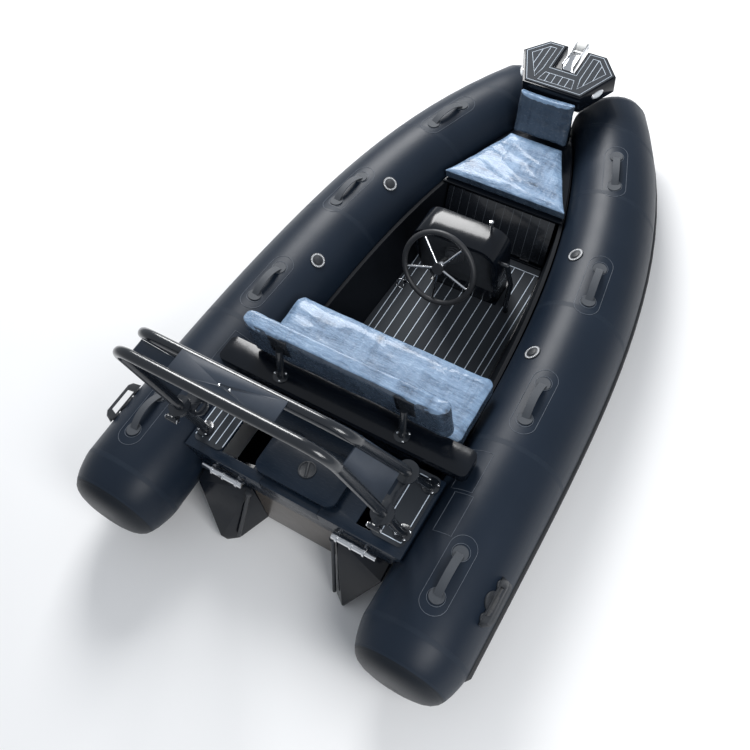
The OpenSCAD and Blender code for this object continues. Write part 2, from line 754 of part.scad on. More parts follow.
// ---- aft bench ----
beam_z = deck_z + 97;
beam_t = 50;
beam_y = station(390);
beam_d = 130;
bench_y = station(530);
bench_half = liner_face(station(600), sole_z) - 8;
module bench_base() {
    top = bench_z - bench_t - gap;
    color("#1a1c20")
        rotate([90, 0, 90])
            translate([0, 0, -bench_half])
                linear_extrude(2 * bench_half)
                    polygon([[station(395), sole_z + gap], [station(790), sole_z + gap], [station(790), top],
                        [beam_y + beam_d, top], [beam_y + beam_d, beam_z - beam_t - gap],
                        [station(395), beam_z - beam_t - gap]]);
}
module seat_beam() {
    color("#0e0f11")
        translate([0, beam_y + beam_d / 2, beam_z - beam_t]) {
            translate([-beam_w / 2 + 30, -beam_d / 2, 0]) cube([beam_w - 60, beam_d, beam_t]);
            for (s = [-1, 1])
                translate([s * (beam_w / 2 - 30), 0, 0])
                    rounded_slab(60, beam_d, beam_t, 29);
        }
}
module bench_cushion() {
    color("#b9c6d4")
        translate([0, bench_y + bench_d / 2, bench_z - bench_t])
            rounded_slab(bench_w, bench_d, bench_t, 40);
}
backrest_z = bench_z + 82;
backrest_y = station(500);
backrest_tilt = 4;
post_x = 305;
plate_from = 105;                           // the backrest's plates, measured up its back
plate_to = 220;
plate_w = 92;
module backrest_posts() {
    head = [post_x, backrest_y - 18 - sin(backrest_tilt) * plate_from, backrest_z + plate_from + 40];
    color("#121315")
        both_sides() {
            translate([post_x, station(438), beam_z + gap]) cylinder(d = 70, h = 7);
            bar([post_x, station(438), beam_z + 6], head, post_dia);
            translate([0, backrest_y, backrest_z])
                rotate([backrest_tilt, 0, 0])
                    translate([post_x - plate_w / 2, -8, plate_from]) cube([plate_w, 8, plate_to - plate_from]);
        }
}
module backrest_cushion() {
    color("#b9c6d4")
        translate([0, backrest_y, backrest_z])
            rotate([backrest_tilt, 0, 0])
                translate([0, backrest_t / 2 + gap, 0])
                    rounded_slab(bench_w - 40, backrest_t, backrest_h, 30);
}

// ---- console ----
console_foot_w = 380;
console_foot_d = 170;
console_y = station(console_at);
hood_y = console_y - 90;
hood_d = 190;
dash_sink = 34;
dash_z = sole_z + 200;
module console() {
    color("#15171a")
        difference() {
            hull() {
                translate([0, console_y + console_foot_d / 2, sole_z + gap])
                    rounded_slab(console_foot_w, console_foot_d, 10, 50);
                translate([0, hood_y + hood_d / 2 + 15, sole_z + 260])
                    rounded_slab(console_w, hood_d + 10, 10, 50);
                translate([0, hood_y + hood_d / 2, console_z - 110])
                    rounded_slab(console_w, hood_d, 10, 30);
                for (s = [-1, 1])
                    translate([s * (console_w / 2 - 90), hood_y + 8, console_z - 90])
                        rotate([-90, 0, 0]) cylinder(r = 90, h = hood_d - 30, $fn = 32);
            }
            // recess for the dash under the hood
            translate([0, hood_y - 60, dash_z])
                dash_block(console_w / 2 - 22, 60 + dash_sink, console_z - 20 - dash_z);
        }
}
// Block with round upper corners that the dash recess and the dash panel share
module dash_block(half, depth, top) {
    rotate([90, 0, 0])
        translate([0, 0, -depth])
            linear_extrude(depth)
                hull() {
                    translate([-half, 0]) square([2 * half, 20]);
                    for (s = [-1, 1])
                        translate([s * (half - 70), top - 70]) circle(r = 70);
                }
}
dash_t = 6;
module dash() {
    color("#0c0d0e")
        translate([0, hood_y + dash_sink - dash_t - gap, dash_z + 1])
            dash_block(console_w / 2 - 23, dash_t, console_z - 22 - dash_z);
}

// ---- steering ----
wheel_at = [0, station(1300), deck_z + 45];
wheel_r = (wheel_dia - wheel_rim) / 2;
spokes = 5;
helm_len = (hood_y + dash_sink - wheel_at[1]) / cos(wheel_tilt);
// Local Z points from the dash to the driver
module helm_axis(along) {
    translate(wheel_at)
        rotate([90 - wheel_tilt, 0, 0])
            translate([0, 0, along]) children();
}
helm_rings = [[56, 0, 60], [104, 22, 10], [90, 32, 12], [78, 44, 12], [66, 56, 14]];  // diameter, start, length
module helm_base() {
    dash_face = hood_y + dash_sink - dash_t - 2 * gap;
    color("#1b1d20")
        difference() {
            helm_axis(-helm_len)
                for (q = helm_rings)
                    translate([0, 0, q[1] - 10]) cylinder(d = q[0], h = q[2]);
            helm_axis(-helm_len - 40) cylinder(d = shaft_dia + pin_play, h = 160);
            translate([-100, dash_face, console_z - 300]) cube([200, 200, 300]);
        }
}
module steering_wheel() {
    color("#17181a")
        helm_axis(0) {
            rotate_extrude() translate([wheel_r, 0]) circle(d = wheel_rim);
            translate([0, 0, -22]) cylinder(d = 58, h = 34);
            translate([0, 0, -80]) cylinder(d = 46, h = 60);
            translate([0, 0, -helm_len + 16]) cylinder(d = shaft_dia, h = helm_len - 80);
            for (i = [0 : spokes - 1])
                rotate([0, 0, 90 + 36 + 72 * i])
                    translate([20, 0, -4])
                        rotate([0, 90 - atan(4 / wheel_r), 0]) cylinder(d = 12, h = wheel_r - 20);
        }
}
knob_angle = 222;
module wheel_knob() {
    color("#c9ccd0")
        helm_axis(0)
            rotate([0, 0, knob_angle]) {
                translate([wheel_r + wheel_rim / 2 + gap, -9, -6]) cube([22, 18, 12]);
                translate([wheel_r + wheel_rim / 2 + 44, 0, -5])
                    difference() {
                        cylinder(d = 52, h = 10);
                        translate([0, 0, -1]) cylinder(d = 42, h = 12);
                    }
            }
}

rail_dia = 25;
module grab_rail() {
    x = console_w / 2;
    y = hood_y + 60;
    foot = sole_z + pad_t + 2 * gap;
    color("#2a2d31")
        rod([[x + 0.5, y, deck_z - 20], [x + 36, y, deck_z - 20], [x + 50, y + 20, deck_z - 180],
             [x + 30, y + 20, sole_z + 70], [x + 30, y + 20, foot]], rail_dia);
}
module light_post() {
    color("#c9ccd0")
        translate([console_w / 2 - 92, hood_y + hood_d - 50, console_z + gap]) {
            cylinder(d = 12, h = 50);
            translate([0, 0, 50]) cylinder(d = 20, h = 18);
        }
}

// ---- bow ----
seat_aft = stem_from - 563;
seat_fwd = seat_aft + bow_seat_len;
locker_top = bow_seat_z - bow_seat_t - gap;
door_foot = [station(1853), sole_z + 18];
door_head = [seat_aft + 4, locker_top - 28];
door_half = 305;
door_t = 18;
door_len = norm(door_head - door_foot);
door_slope = atan2(door_head[0] - door_foot[0], door_head[1] - door_foot[1]);
door_hinge_x = 200;
door_hinge_w = 50;
module bow_locker() {
    edge = [for (i = [0 : 10]) let (y = seat_aft - 8 + (stem_from - 2 - seat_aft + 8) * i / 10)
        [liner_face(y, liner_top) + liner_wall - 4, y]];
    color("#17191c") {
        translate([0, 0, locker_top - locker_t])
            linear_extrude(locker_t)
                polygon(concat(edge, [for (i = [10 : -1 : 0]) [-edge[i][0], edge[i][1]]]));
        // sill under the door, with its hinge lugs and pins
        translate([2 - door_half, door_foot[0] - 12, sole_z + gap]) cube([2 * door_half - 4, 30, 10]);
        for (x = [-door_hinge_x, door_hinge_x]) {
            for (s = [-1, 1])
                translate([x + s * (door_hinge_w / 2 + 4) - 3, door_foot[0] - 6, sole_z + 8])
                    cube([6, 12, door_foot[1] - sole_z - 2]);
            translate([x - door_hinge_w / 2 - 4, door_foot[0], door_foot[1]])
                rotate([0, 90, 0]) cylinder(d = hinge_pin, h = door_hinge_w + 8);
        }
    }
}
module locker_door() {
    color("#1c1f23")
        translate([0, door_foot[0], door_foot[1]])
            rotate([-door_slope, 0, 0])
                difference() {
                    union() {
                        translate([-door_half, -door_t / 2, 10]) cube([2 * door_half, door_t, door_len - 10]);
                        for (x = [-door_hinge_x, door_hinge_x]) {
                            translate([x - door_hinge_w / 2, -4, 0]) cube([door_hinge_w, 8, 12]);
                            translate([x - door_hinge_w / 2, 0, 0]) rotate([0, 90, 0]) cylinder(d = 12, h = door_hinge_w);
                        }
                    }
                    for (x = [-door_hinge_x, door_hinge_x])
                        translate([x - door_hinge_w / 2 - 1, 0, 0])
                            rotate([0, 90, 0]) cylinder(d = hinge_pin + pin_play, h = door_hinge_w + 2);
                }
}
module bow_seat_cushion() {
    color("#b9c6d4")
        translate([0, 0, bow_seat_z - bow_seat_t])
            linear_extrude(bow_seat_t)
                polygon([[-bow_seat_w / 2, seat_aft], [bow_seat_w / 2, seat_aft],
                    [bow_seat_nose_w / 2, seat_fwd], [-bow_seat_nose_w / 2, seat_fwd]]);
}
back_lean = 18.5;
back_t = 38;
back_drop = 8;                              // how far its foot sits below the seat cushion's top
module bow_back_cushion() {
    color("#aab4bf")
        translate([0, seat_fwd + 0.5, bow_seat_z - back_drop])
            rotate([-back_lean, 0, 0])
                translate([0, back_t / 2, 0]) rounded_slab(bow_seat_nose_w + 8, back_t, bow_back_h + back_drop, back_t * 0.4);
}

step_wide = 522;
step_nose_w = 320;
step_aft = from_bow(424);
step_mid = from_bow(204);
step_fwd = from_bow(85);
slot_w = 112;
slot_deep = from_bow(262);
module step_outline(inset) {
    offset(delta = -inset)
        difference() {
            polygon([[-step_nose_w / 2, step_aft], [step_nose_w / 2, step_aft], [step_wide / 2, step_mid],
                [step_nose_w / 2, step_fwd], [-step_nose_w / 2, step_fwd], [-step_wide / 2, step_mid]]);
            translate([-slot_w / 2, slot_deep]) square([slot_w, 400]);
        }
}
module bow_step() {
    color("#1b1e22")
        translate([0, 0, step_foot])
            linear_extrude(step_depth) step_outline(0);
}
module bow_step_pad() {
    color("#2d3238")
        translate([0, 0, step_foot + step_depth])
            linear_extrude(pad_t) step_outline(10);
}

roller_y = from_bow(roller_dia / 2 + 6);
roller_z = step_z - 30;
cheek_t = 5;
module roller_bracket() {
    inner = roller_len + 3;
    foot_y = from_bow(216);
    color("#c4c7cb")
        union() {
            for (s = [-1, 1])
                translate([s * (inner + cheek_t) / 2 - cheek_t / 2, 0, 0]) {
                    translate([0, foot_y, roller_z - 20]) cube([cheek_t, roller_y - foot_y, 40]);
                    translate([0, foot_y, step_foot]) cube([cheek_t, 50, roller_z - step_foot]);
                    translate([0, roller_y, roller_z]) rotate([0, 90, 0]) cylinder(d = 40, h = cheek_t);
                }
            translate([-inner / 2 - cheek_t, foot_y, roller_z - 20])
                cube([inner + 2 * cheek_t, roller_y - roller_dia / 2 - 8 - foot_y, cheek_t]);
            translate([-inner / 2 - cheek_t - 3, roller_y, roller_z])
                rotate([0, 90, 0]) cylinder(d = roller_pin, h = inner + 2 * cheek_t + 6);
        }
}
module bow_roller() {
    color("#e6e6e2")
        translate([0, roller_y, roller_z])
            rotate([0, 90, 0])
                difference() {
                    cylinder(d = roller_dia, h = roller_len, center = true);
                    cylinder(d = roller_pin + pin_play, h = roller_len + 2, center = true);
                }
}
boat_hull();
transom();
port_liner();
starboard_liner();
sole_pad();
port_tube();
starboard_tube();
port_rub_strake();
starboard_rub_strake();
air_valves();
port_strap_handles();
starboard_strap_handles();
carry_handles();
stern_deck();
transom_cap();
hatch_lid();
hatch_latch();
deck_pads();
stern_struts();
ladders();
arch_feet();
arch_frame();
arch_plates();
arch_pins();
bench_base();
seat_beam();
bench_cushion();
backrest_posts();
backrest_cushion();
console();
dash();
helm_base();
steering_wheel();
wheel_knob();
grab_rail();
light_post();
bow_locker();
locker_door();
bow_seat_cushion();
bow_back_cushion();
bow_step();
bow_step_pad();
roller_bracket();
bow_roller();
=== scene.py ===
import math

import bmesh
import bpy
from mathutils import Matrix, Vector, noise


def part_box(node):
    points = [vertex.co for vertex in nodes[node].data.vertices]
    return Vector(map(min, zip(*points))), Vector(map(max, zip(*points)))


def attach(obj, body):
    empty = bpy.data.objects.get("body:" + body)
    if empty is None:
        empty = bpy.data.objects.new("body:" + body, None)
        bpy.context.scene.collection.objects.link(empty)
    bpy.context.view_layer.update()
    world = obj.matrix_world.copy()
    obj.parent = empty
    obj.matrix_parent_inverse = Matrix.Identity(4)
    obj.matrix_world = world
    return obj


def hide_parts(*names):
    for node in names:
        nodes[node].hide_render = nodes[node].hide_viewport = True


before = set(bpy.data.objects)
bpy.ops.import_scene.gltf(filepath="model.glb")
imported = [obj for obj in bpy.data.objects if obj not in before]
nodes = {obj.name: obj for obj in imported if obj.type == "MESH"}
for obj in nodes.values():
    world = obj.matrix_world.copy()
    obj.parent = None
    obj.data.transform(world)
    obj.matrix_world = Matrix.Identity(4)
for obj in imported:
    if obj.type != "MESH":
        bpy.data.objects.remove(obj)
scene = bpy.context.scene
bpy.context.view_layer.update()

# The view: over the starboard quarter, looking forward and steeply down on the deck.
right = Vector((0.85459, 0.51125, -0.09116))
look = Vector((-0.33063, 0.40029, -0.85466))
lens = bpy.data.cameras.new("view")
lens.sensor_width = 36
lens.lens = 42.19
lens.clip_end = 60
camera = bpy.data.objects.new("view", lens)
turn = Matrix((right, right.cross(look), -look)).transposed().to_4x4()
camera.matrix_world = Matrix.Translation((1.30805, -2.14025, 3.79529)) @ turn
scene.collection.objects.link(camera)
scene.camera = camera


# The inflated tubes: welded boat fabric, black with a blue sheen, a fine cloth grain under
# the coating, and glued tapes round each seam where two lengths of cloth meet.
class Wire:
    """One value in a finish's nodes."""

    def __init__(self, tree, socket=None):
        self.tree, self.socket = tree, socket

    def node(self, kind, settings=None, inputs=None, out=0):
        n = self.tree.nodes.new(kind)
        for key, value in (settings or {}).items():
            if key == "stops":
                while len(n.color_ramp.elements) < len(value):
                    n.color_ramp.elements.new(0.5)
                for stop, (place, colour) in zip(n.color_ramp.elements, value):
                    stop.position, stop.color = place, colour
            else:
                setattr(n, key, value)
        for key, value in (inputs or {}).items():
            if isinstance(value, Wire):
                self.tree.links.new(value.socket, n.inputs[key])
            else:
                n.inputs[key].default_value = value
        return Wire(self.tree, n.outputs[out])

    def maths(self, operation, *values):
        return self.node("ShaderNodeMath", {"operation": operation}, dict(enumerate(values)))

    def __add__(self, other):
        return self.maths("ADD", self, other)

    def __mul__(self, other):
        return self.maths("MULTIPLY", self, other)

    def __sub__(self, other):
        return self.maths("SUBTRACT", self, other)

    def __rsub__(self, other):
        return self.maths("SUBTRACT", other, self)

    def __gt__(self, other):
        return self.maths("GREATER_THAN", self, other)

    def __lt__(self, other):
        return self.maths("LESS_THAN", self, other)

    __radd__, __rmul__ = __add__, __mul__

    def size(self):
        return self.maths("ABSOLUTE", self)

    def near(self, value, reach):
        return self.maths("COMPARE", self, value, reach)

    def between(self, first, second):
        """Goes from the first colour to the second as this value goes from 0 to 1."""
        return self.node("ShaderNodeMix", {"data_type": "RGBA"}, {0: self, 6: first, 7: second}, 2)

    def mottle(self, scale, detail=3, stretch=(1, 1, 1), roughness=0.5):
        place = self.node("ShaderNodeTexCoord", out="Object")
        place = self.node("ShaderNodeMapping", {}, {"Vector": place, "Scale": stretch})
        return self.node("ShaderNodeTexNoise", {},
                         {"Vector": place, "Scale": scale, "Detail": detail, "Roughness": roughness})

    def axes(self):
        place = self.node("ShaderNodeTexCoord", out="Object")
        split = self.node("ShaderNodeSeparateXYZ", {}, {0: place}).socket.node
        return [Wire(self.tree, out) for out in split.outputs]


def start_finish(name, colour, rough, **sockets):
    finish = bpy.data.materials.new(name)
    finish.use_nodes = True
    shader = finish.node_tree.nodes["Principled BSDF"]
    shader.inputs["Base Color"].default_value = (*colour, 1)
    shader.inputs["Roughness"].default_value = rough
    for key, value in sockets.items():
        shader.inputs[key.replace("_", " ")].default_value = value
    return finish, shader, Wire(finish.node_tree)


def feed(shader, **wires):
    for key, wire in wires.items():
        wire.tree.links.new(wire.socket, shader.inputs[key.replace("_", " ")])


def raise_grain(shader, height, depth):
    feed(shader, Normal=height.node("ShaderNodeBump", {}, {"Height": height, "Distance": depth, "Strength": 1.0}))


def wear(finish, names, edge=0.0):
    """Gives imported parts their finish, smooth round faces and, with an edge, softened corners."""
    for name in names:
        part = nodes[name]
        for place in part.material_slots:
            place.material = finish
        if not part.material_slots:
            part.data.materials.append(finish)
        part.data.polygons.foreach_set("use_smooth", [True] * len(part.data.polygons))
        weld = part.modifiers.new("joined", "WELD")
        weld.merge_threshold = 0.00002
        if edge:
            bevel = part.modifiers.new("edges", "BEVEL")
            bevel.width, bevel.segments, bevel.limit_method = edge, 2, "ANGLE"
            bevel.angle_limit, bevel.harden_normals = math.radians(32), True
        else:
            split = part.modifiers.new("corners", "EDGE_SPLIT")
            split.split_angle = math.radians(32)


tube_cloth, shader, start = start_finish("coated_tube_cloth", (0.005, 0.012, 0.027), 0.42,
                                         Specular_IOR_Level=0.24)
x, y, z = start.axes()
seams = [(-1.485, 0.011), (-1.612, 0.008), (-0.62, 0.012), (0.16, 0.012), (0.86, 0.012), (1.30, 0.012)]
tape = None
for at, reach in seams:
    band = y.near(at, reach)
    tape = band if tape is None else tape + band
cap = y < -1.612
cloud = start.mottle(2.6, 4)
grain = start.mottle(900, 2)
shade = cloud.between((0.006, 0.011, 0.020, 1), (0.010, 0.018, 0.032, 1))
shade = (tape * 0.3).between(shade, (0.013, 0.022, 0.036, 1))
feed(shader, Base_Color=(cap * 0.8).between(shade, (0.007, 0.009, 0.012, 1)),
     Roughness=0.34 + cloud * 0.16 + tape * 0.08)
raise_grain(shader, grain * 0.25 + tape * 0.8 + start.mottle(16, 2) * 0.5, 0.0006)
wear(tube_cloth, ["port_tube", "starboard_tube"])

# The rubbing strakes: ribbed black rubber extrusions glued along the outside of the tubes,
# dusty along the ribs.
strake_rubber, shader, start = start_finish("ribbed_strake_rubber", (0.016, 0.017, 0.019), 0.6)
dust = start.mottle(60, 4)
feed(shader, Base_Color=dust.between((0.010, 0.011, 0.013, 1), (0.030, 0.032, 0.035, 1)),
     Roughness=0.48 + dust * 0.25)
raise_grain(shader, start.mottle(420, 3), 0.0004)
wear(strake_rubber, ["port_rub_strake", "starboard_rub_strake"])


# Patches under the handles: each strap end is sewn to a round patch, and both sit on one long
# oval patch glued to the tube. Their edges show as thin pale lines of glue.
def place_on_tube(side, at, angle, along=0.0, around=0.0, lift=0.0):
    """A point on a tube's skin and the way out from it. middle() is the tube's centre line and radius."""
    def middle(y):
        run = max(0, (y + 1.76) / 3.34)
        drop = min(1, max(0, (run - 0.12) / 0.5))
        return 0.726 - 0.525 * run ** 4.2, 0.29 - 0.056 * drop * drop * (3 - 2 * drop), 0.235 - 0.035 * run ** 4
    yaw = -math.atan((middle(at + 0.005)[0] - middle(at - 0.005)[0]) / 0.01)
    y = at + along * math.cos(yaw)
    yaw = -math.atan((middle(y + 0.005)[0] - middle(y - 0.005)[0]) / 0.01)
    x, z, girth = middle(y)
    a = math.radians(angle) + around / girth
    out = Vector((math.cos(yaw) * math.cos(a), math.sin(yaw) * math.cos(a), math.sin(a)))
    p = Vector((x, y, z)) + out * (girth + lift)
    return Vector((side * p.x, p.y, p.z)), Vector((side * out.x, out.y, out.z))


def draw_lines(name, lines, thick, finish, body="boat", closed=True):
    wire = bpy.data.curves.new(name, "CURVE")
    wire.dimensions = "3D"
    wire.bevel_depth, wire.bevel_resolution = thick / 2, 1
    for line in lines:
        spline = wire.splines.new("POLY")
        spline.points.add(len(line) - 1)
        for point, place in zip(spline.points, line):
            point.co = (*place, 1)
        spline.use_cyclic_u = closed and len(line) > 2
    piece = bpy.data.objects.new(name, wire)
    scene.collection.objects.link(piece)
    wire.materials.append(finish)
    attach(piece, body)
    return piece


glue_line, shader, start = start_finish("dried_glue_line", (0.10, 0.12, 0.15), 0.5)
feed(shader, Base_Color=start.mottle(140, 3).between((0.05, 0.06, 0.08, 1), (0.17, 0.20, 0.24, 1)))
raise_grain(shader, start.mottle(300, 2), 0.0003)
handle_places = [(-1.235, 85), (-0.385, 94), (0.305, 87), (1.01, 93)]
for word, side in (("port", -1), ("starboard", 1)):
    lines = []
    for at, angle in handle_places:
        oval = [((0.115 if math.cos(t) > 0 else -0.115) + 0.058 * math.cos(t), 0.058 * math.sin(t))
                for t in [math.tau * (i + 0.5) / 40 for i in range(40)]]
        rounds = [[(c + 0.037 * math.cos(math.tau * i / 24), 0.037 * math.sin(math.tau * i / 24)) for i in range(24)]
                  for c in (-0.1, 0.1)]
        for loop in [oval] + rounds:
            lines.append([place_on_tube(side, at, angle, u, v, 0.0002)[0] for u, v in loop])
    for at, angle, length, width in ((-1.0, 112, 0.19, 0.09), (-0.79, 118, 0.2, 0.11)):
        box = [(-length / 2, -width / 2), (length / 2, -width / 2), (length / 2, width / 2), (-length / 2, width / 2)]
        rim = [(a[0] + (b[0] - a[0]) * i / 8, a[1] + (b[1] - a[1]) * i / 8)
               for a, b in zip(box, box[1:] + box[:1]) for i in range(8)]
        lines.append([place_on_tube(side, at, angle, u, v, 0.0002)[0] for u, v in rim])
    draw_lines(word + "_patch_edges", lines, 0.0018, glue_line)

# The strap handles: flat black polyester webbing, woven with ribs across it and a little dusty,
# with each end sewn down to its patch.
strap_webbing, shader, start = start_finish("woven_webbing", (0.03, 0.034, 0.04), 0.7, Sheen_Weight=0.2)
x, y, z = start.axes()
rib = start.maths("SINE", y * 2200) * 0.5 + 0.5
thread = start.mottle(500, 2)
feed(shader, Base_Color=(thread * 0.7 + rib * 0.3).between((0.014, 0.017, 0.022, 1), (0.055, 0.065, 0.08, 1)),
     Roughness=0.5 + thread * 0.3)
raise_grain(shader, rib * 0.6 + thread * 0.4, 0.0004)
wear(strap_webbing, ["port_strap_handles", "starboard_strap_handles"])

# The marks on the air valves: a ring of short white dashes printed on each of the four moulded
# black discs, which are set into the tubes' inner sides.
valve_white, shader, start = start_finish("printed_valve_marks", (0.75, 0.77, 0.78), 0.45)
feed(shader, Base_Color=start.mottle(220, 3).between((0.55, 0.57, 0.6, 1), (0.85, 0.86, 0.87, 1)))
raise_grain(shader, start.mottle(600, 2), 0.0001)


def finish_mesh(name, bm, finish, body="boat", smooth=True):
    bmesh.ops.recalc_face_normals(bm, faces=bm.faces)
    mesh = bpy.data.meshes.new(name)
    bm.to_mesh(mesh)
    bm.free()
    mesh.polygons.foreach_set("use_smooth", [smooth] * len(mesh.polygons))
    mesh.materials.append(finish)
    piece = bpy.data.objects.new(name, mesh)
    scene.collection.objects.link(piece)
    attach(piece, body)
    return piece


def stand_on(at, out, forward=Vector((0, 1, 0))):
    """A frame at a point with its third axis along the outward direction."""
    across = forward.cross(out).normalized()
    return Matrix.Translation(at) @ Matrix((across, out.cross(across), out)).transposed().to_4x4()


marks = bmesh.new()
for side in (-1, 1):
    for at, angle in ((-0.132, 123), (0.475, 121)):
        p, out = place_on_tube(side, at, angle, lift=0.0036)
        along = (place_on_tube(side, at, angle, 0.01)[0] - place_on_tube(side, at, angle, -0.01)[0]).normalized()
        base = stand_on(p, along.cross(out).cross(along).normalized(), along)
        for i in range(26):
            spot = base @ Matrix.Rotation(math.tau * i / 26, 4, "Z") @ Matrix.Translation((0.0315, 0, 0))
            mark = bmesh.ops.create_cube(marks, size=1, matrix=spot @ Matrix.Diagonal((0.0075, 0.0042, 0.0006, 1)))
            bmesh.ops.bevel(marks, geom=list({e for v in mark["verts"] for e in v.link_edges}), offset=0.0002,
                            offset_type="OFFSET", affect="EDGES", segments=1, profile=0.5, material=-1)
finish_mesh("valve_marks", marks, valve_white, smooth=False)

# Moulded black plastic: valves, carrying handles, latch, wheel rim and instrument panel, with
# the fine spark-eroded grain of the mould and a few paler scuffs.
black_moulding, shader, start = start_finish("grained_black_plastic", (0.02, 0.022, 0.025), 0.45)
scuff = start.mottle(35, 5)
feed(shader, Base_Color=scuff.between((0.012, 0.014, 0.017, 1), (0.032, 0.036, 0.043, 1)),
     Roughness=0.36 + scuff * 0.2)
raise_grain(shader, start.mottle(1400, 2), 0.0003)
wear(black_moulding, ["air_valves", "carry_handles", "dash", "helm_base", "hatch_latch", "stern_struts"], 0.0008)

# The hull and furniture: polished black gelcoat on glass fibre, with a slight waviness that
# breaks up reflections, hairline scratches and a dusting near the edges.
def gelcoat(name, dark, light, rough, wave):
    finish, shader, start = start_finish(name, dark, rough,
                                         Specular_IOR_Level=0.3, Coat_Weight=0.05, Coat_Roughness=0.05)
    cloud = start.mottle(5, 4)
    hair = start.mottle(40, 6, (1, 9, 1), 0.7)
    feed(shader, Base_Color=cloud.between((*dark, 1), (*light, 1)), Roughness=rough + hair * 0.16)
    raise_grain(shader, start.mottle(9, 2) + hair * 0.02, wave)
    return finish


hull_gelcoat = gelcoat("polished_gelcoat", (0.003, 0.004, 0.007), (0.006, 0.009, 0.014), 0.12, 0.0016)
wear(hull_gelcoat, ["boat_hull"])
liner_paint, shader, start = start_finish("dull_liner_paint", (0.004, 0.005, 0.008), 0.6,
                                          Specular_IOR_Level=0.12)
orange_peel = start.mottle(220, 3)
feed(shader, Base_Color=start.mottle(6, 4).between((0.003, 0.004, 0.006, 1), (0.008, 0.010, 0.014, 1)),
     Roughness=0.5 + orange_peel * 0.2)
raise_grain(shader, orange_peel, 0.0003)
wear(liner_paint, ["port_liner", "starboard_liner"])
furniture_gelcoat = gelcoat("furniture_gelcoat", (0.002, 0.003, 0.005), (0.004, 0.006, 0.010), 0.09, 0.001)
wear(furniture_gelcoat, ["bench_base", "seat_beam", "console", "bow_locker", "bow_step"], 0.002)
deck_gelcoat = gelcoat("deck_gelcoat", (0.005, 0.010, 0.018), (0.010, 0.018, 0.032), 0.18, 0.0012)
wear(deck_gelcoat, ["stern_deck", "transom_cap", "hatch_lid"], 0.0015)
transom_gelcoat = gelcoat("tinted_transom_gelcoat", (0.035, 0.026, 0.02), (0.07, 0.055, 0.042), 0.12, 0.001)
wear(transom_gelcoat, ["transom"], 0.0015)

# The locker's door under the bow seat: a moulded fibreglass panel in black gelcoat, ruled with
# faint upright lines and hung on a hinge.
door_gelcoat, shader, start = start_finish("ruled_door_gelcoat", (0.009, 0.011, 0.015), 0.2,
                                           Coat_Weight=0.5, Coat_Roughness=0.08)
x, y, z = start.axes()
rule = start.maths("FRACT", x * (1 / 0.05)).near(0.5, 0.022)
feed(shader, Base_Color=rule.between((0.009, 0.011, 0.015, 1), (0.075, 0.085, 0.10, 1)),
     Roughness=0.18 + start.mottle(30, 4) * 0.15)
raise_grain(shader, 1 - rule, 0.0006)
wear(door_gelcoat, ["locker_door"], 0.0015)

# The foam decking: foam sheet, brushed black over white, glued down on the sole, the stern deck
# and the bow step. Grooves cut through the black show the white core.
def foam(name, mark):
    finish, shader, start = start_finish(name, (0.02, 0.022, 0.026), 0.8)
    brushed = start.mottle(260, 4, (4, 1, 1))
    groove = mark(start)
    dark = brushed.between((0.007, 0.010, 0.014, 1), (0.02, 0.026, 0.035, 1))
    feed(shader, Base_Color=groove.between(dark, (0.62, 0.70, 0.80, 1)),
         Roughness=0.66 + brushed * 0.25)
    raise_grain(shader, brushed * 0.3 - groove, 0.0009)
    return finish


def sole_lines(start):
    """Lines run fore and aft over the sole, inside one line round its edge."""
    x, y, z = start.axes()
    spacing, half_width, aft_end, fore_end, thin = 0.058, 0.325, -0.405, 0.535, 0.0018
    across = x.size()
    inside = (across < half_width - 0.007) * (y > aft_end + 0.005) * (y < fore_end - 0.005)
    rule = start.maths("FRACT", x * (1 / spacing) + 0.5).near(0.5, 0.032) * inside
    sides = across.near(half_width, thin) * (y > aft_end - 0.002) * (y < fore_end + 0.002)
    ends = (y.near(fore_end, thin) + y.near(aft_end, thin)) * (across < half_width)
    return start.maths("MINIMUM", rule + sides + ends, 1.0)


def deck_lines(start):
    """The port pad is ruled fore and aft, and the starboard one has a single line round it."""
    x, y, z = start.axes()
    spacing, aft_end, fore_end, inner, outer, thin = 0.036, -1.20, -0.90, 0.415, 0.51, 0.0018
    across = x.size()
    between_ends = (y > aft_end) * (y < fore_end)
    rule = start.maths("FRACT", x * (1 / spacing)).near(0.5, 0.05)
    port = (x < 0.0) * rule * between_ends
    sides = (x > 0.0) * (across.near(inner, thin) + across.near(outer, thin)) * between_ends
    ends = (x > 0.0) * (y.near(aft_end, thin) + y.near(fore_end, thin)) * (across > inner) * (across < outer)
    return start.maths("MINIMUM", port + sides + ends, 1.0)


wear(foam("sole_foam", sole_lines), ["sole_pad"])
wear(foam("deck_foam", deck_lines), ["deck_pads"])
wear(foam("step_foam", lambda start: start.mottle(1, 0) * 0.0), ["bow_step_pad"])

# The bow step's inlay: three panels ruled fore and aft, each inside its own white line, and one
# more white line round the whole step.
groove_white, shader, start = start_finish("white_foam_core", (0.62, 0.70, 0.80), 0.7)
feed(shader, Base_Color=start.mottle(120, 3).between((0.52, 0.60, 0.70, 1), (0.72, 0.79, 0.87, 1)))
raise_grain(shader, start.mottle(500, 2), 0.0002)


def inset_corner(first, second, inset):
    (a, b, c), (d, e, f) = first, second
    c, f = c - inset, f - inset
    det = a * e - b * d
    return Vector(((c * e - b * f) / det, (a * f - c * d) / det))


aft, out_aft, out_fwd = (0, -1, -1.246), (0.909, -0.417, -0.3741), (0.763, 0.647, 1.1476)
front = (0, 1, 1.585)


def both(points):
    return [[(s * p[0], p[1]) for p in points] for s in (-1, 1)]


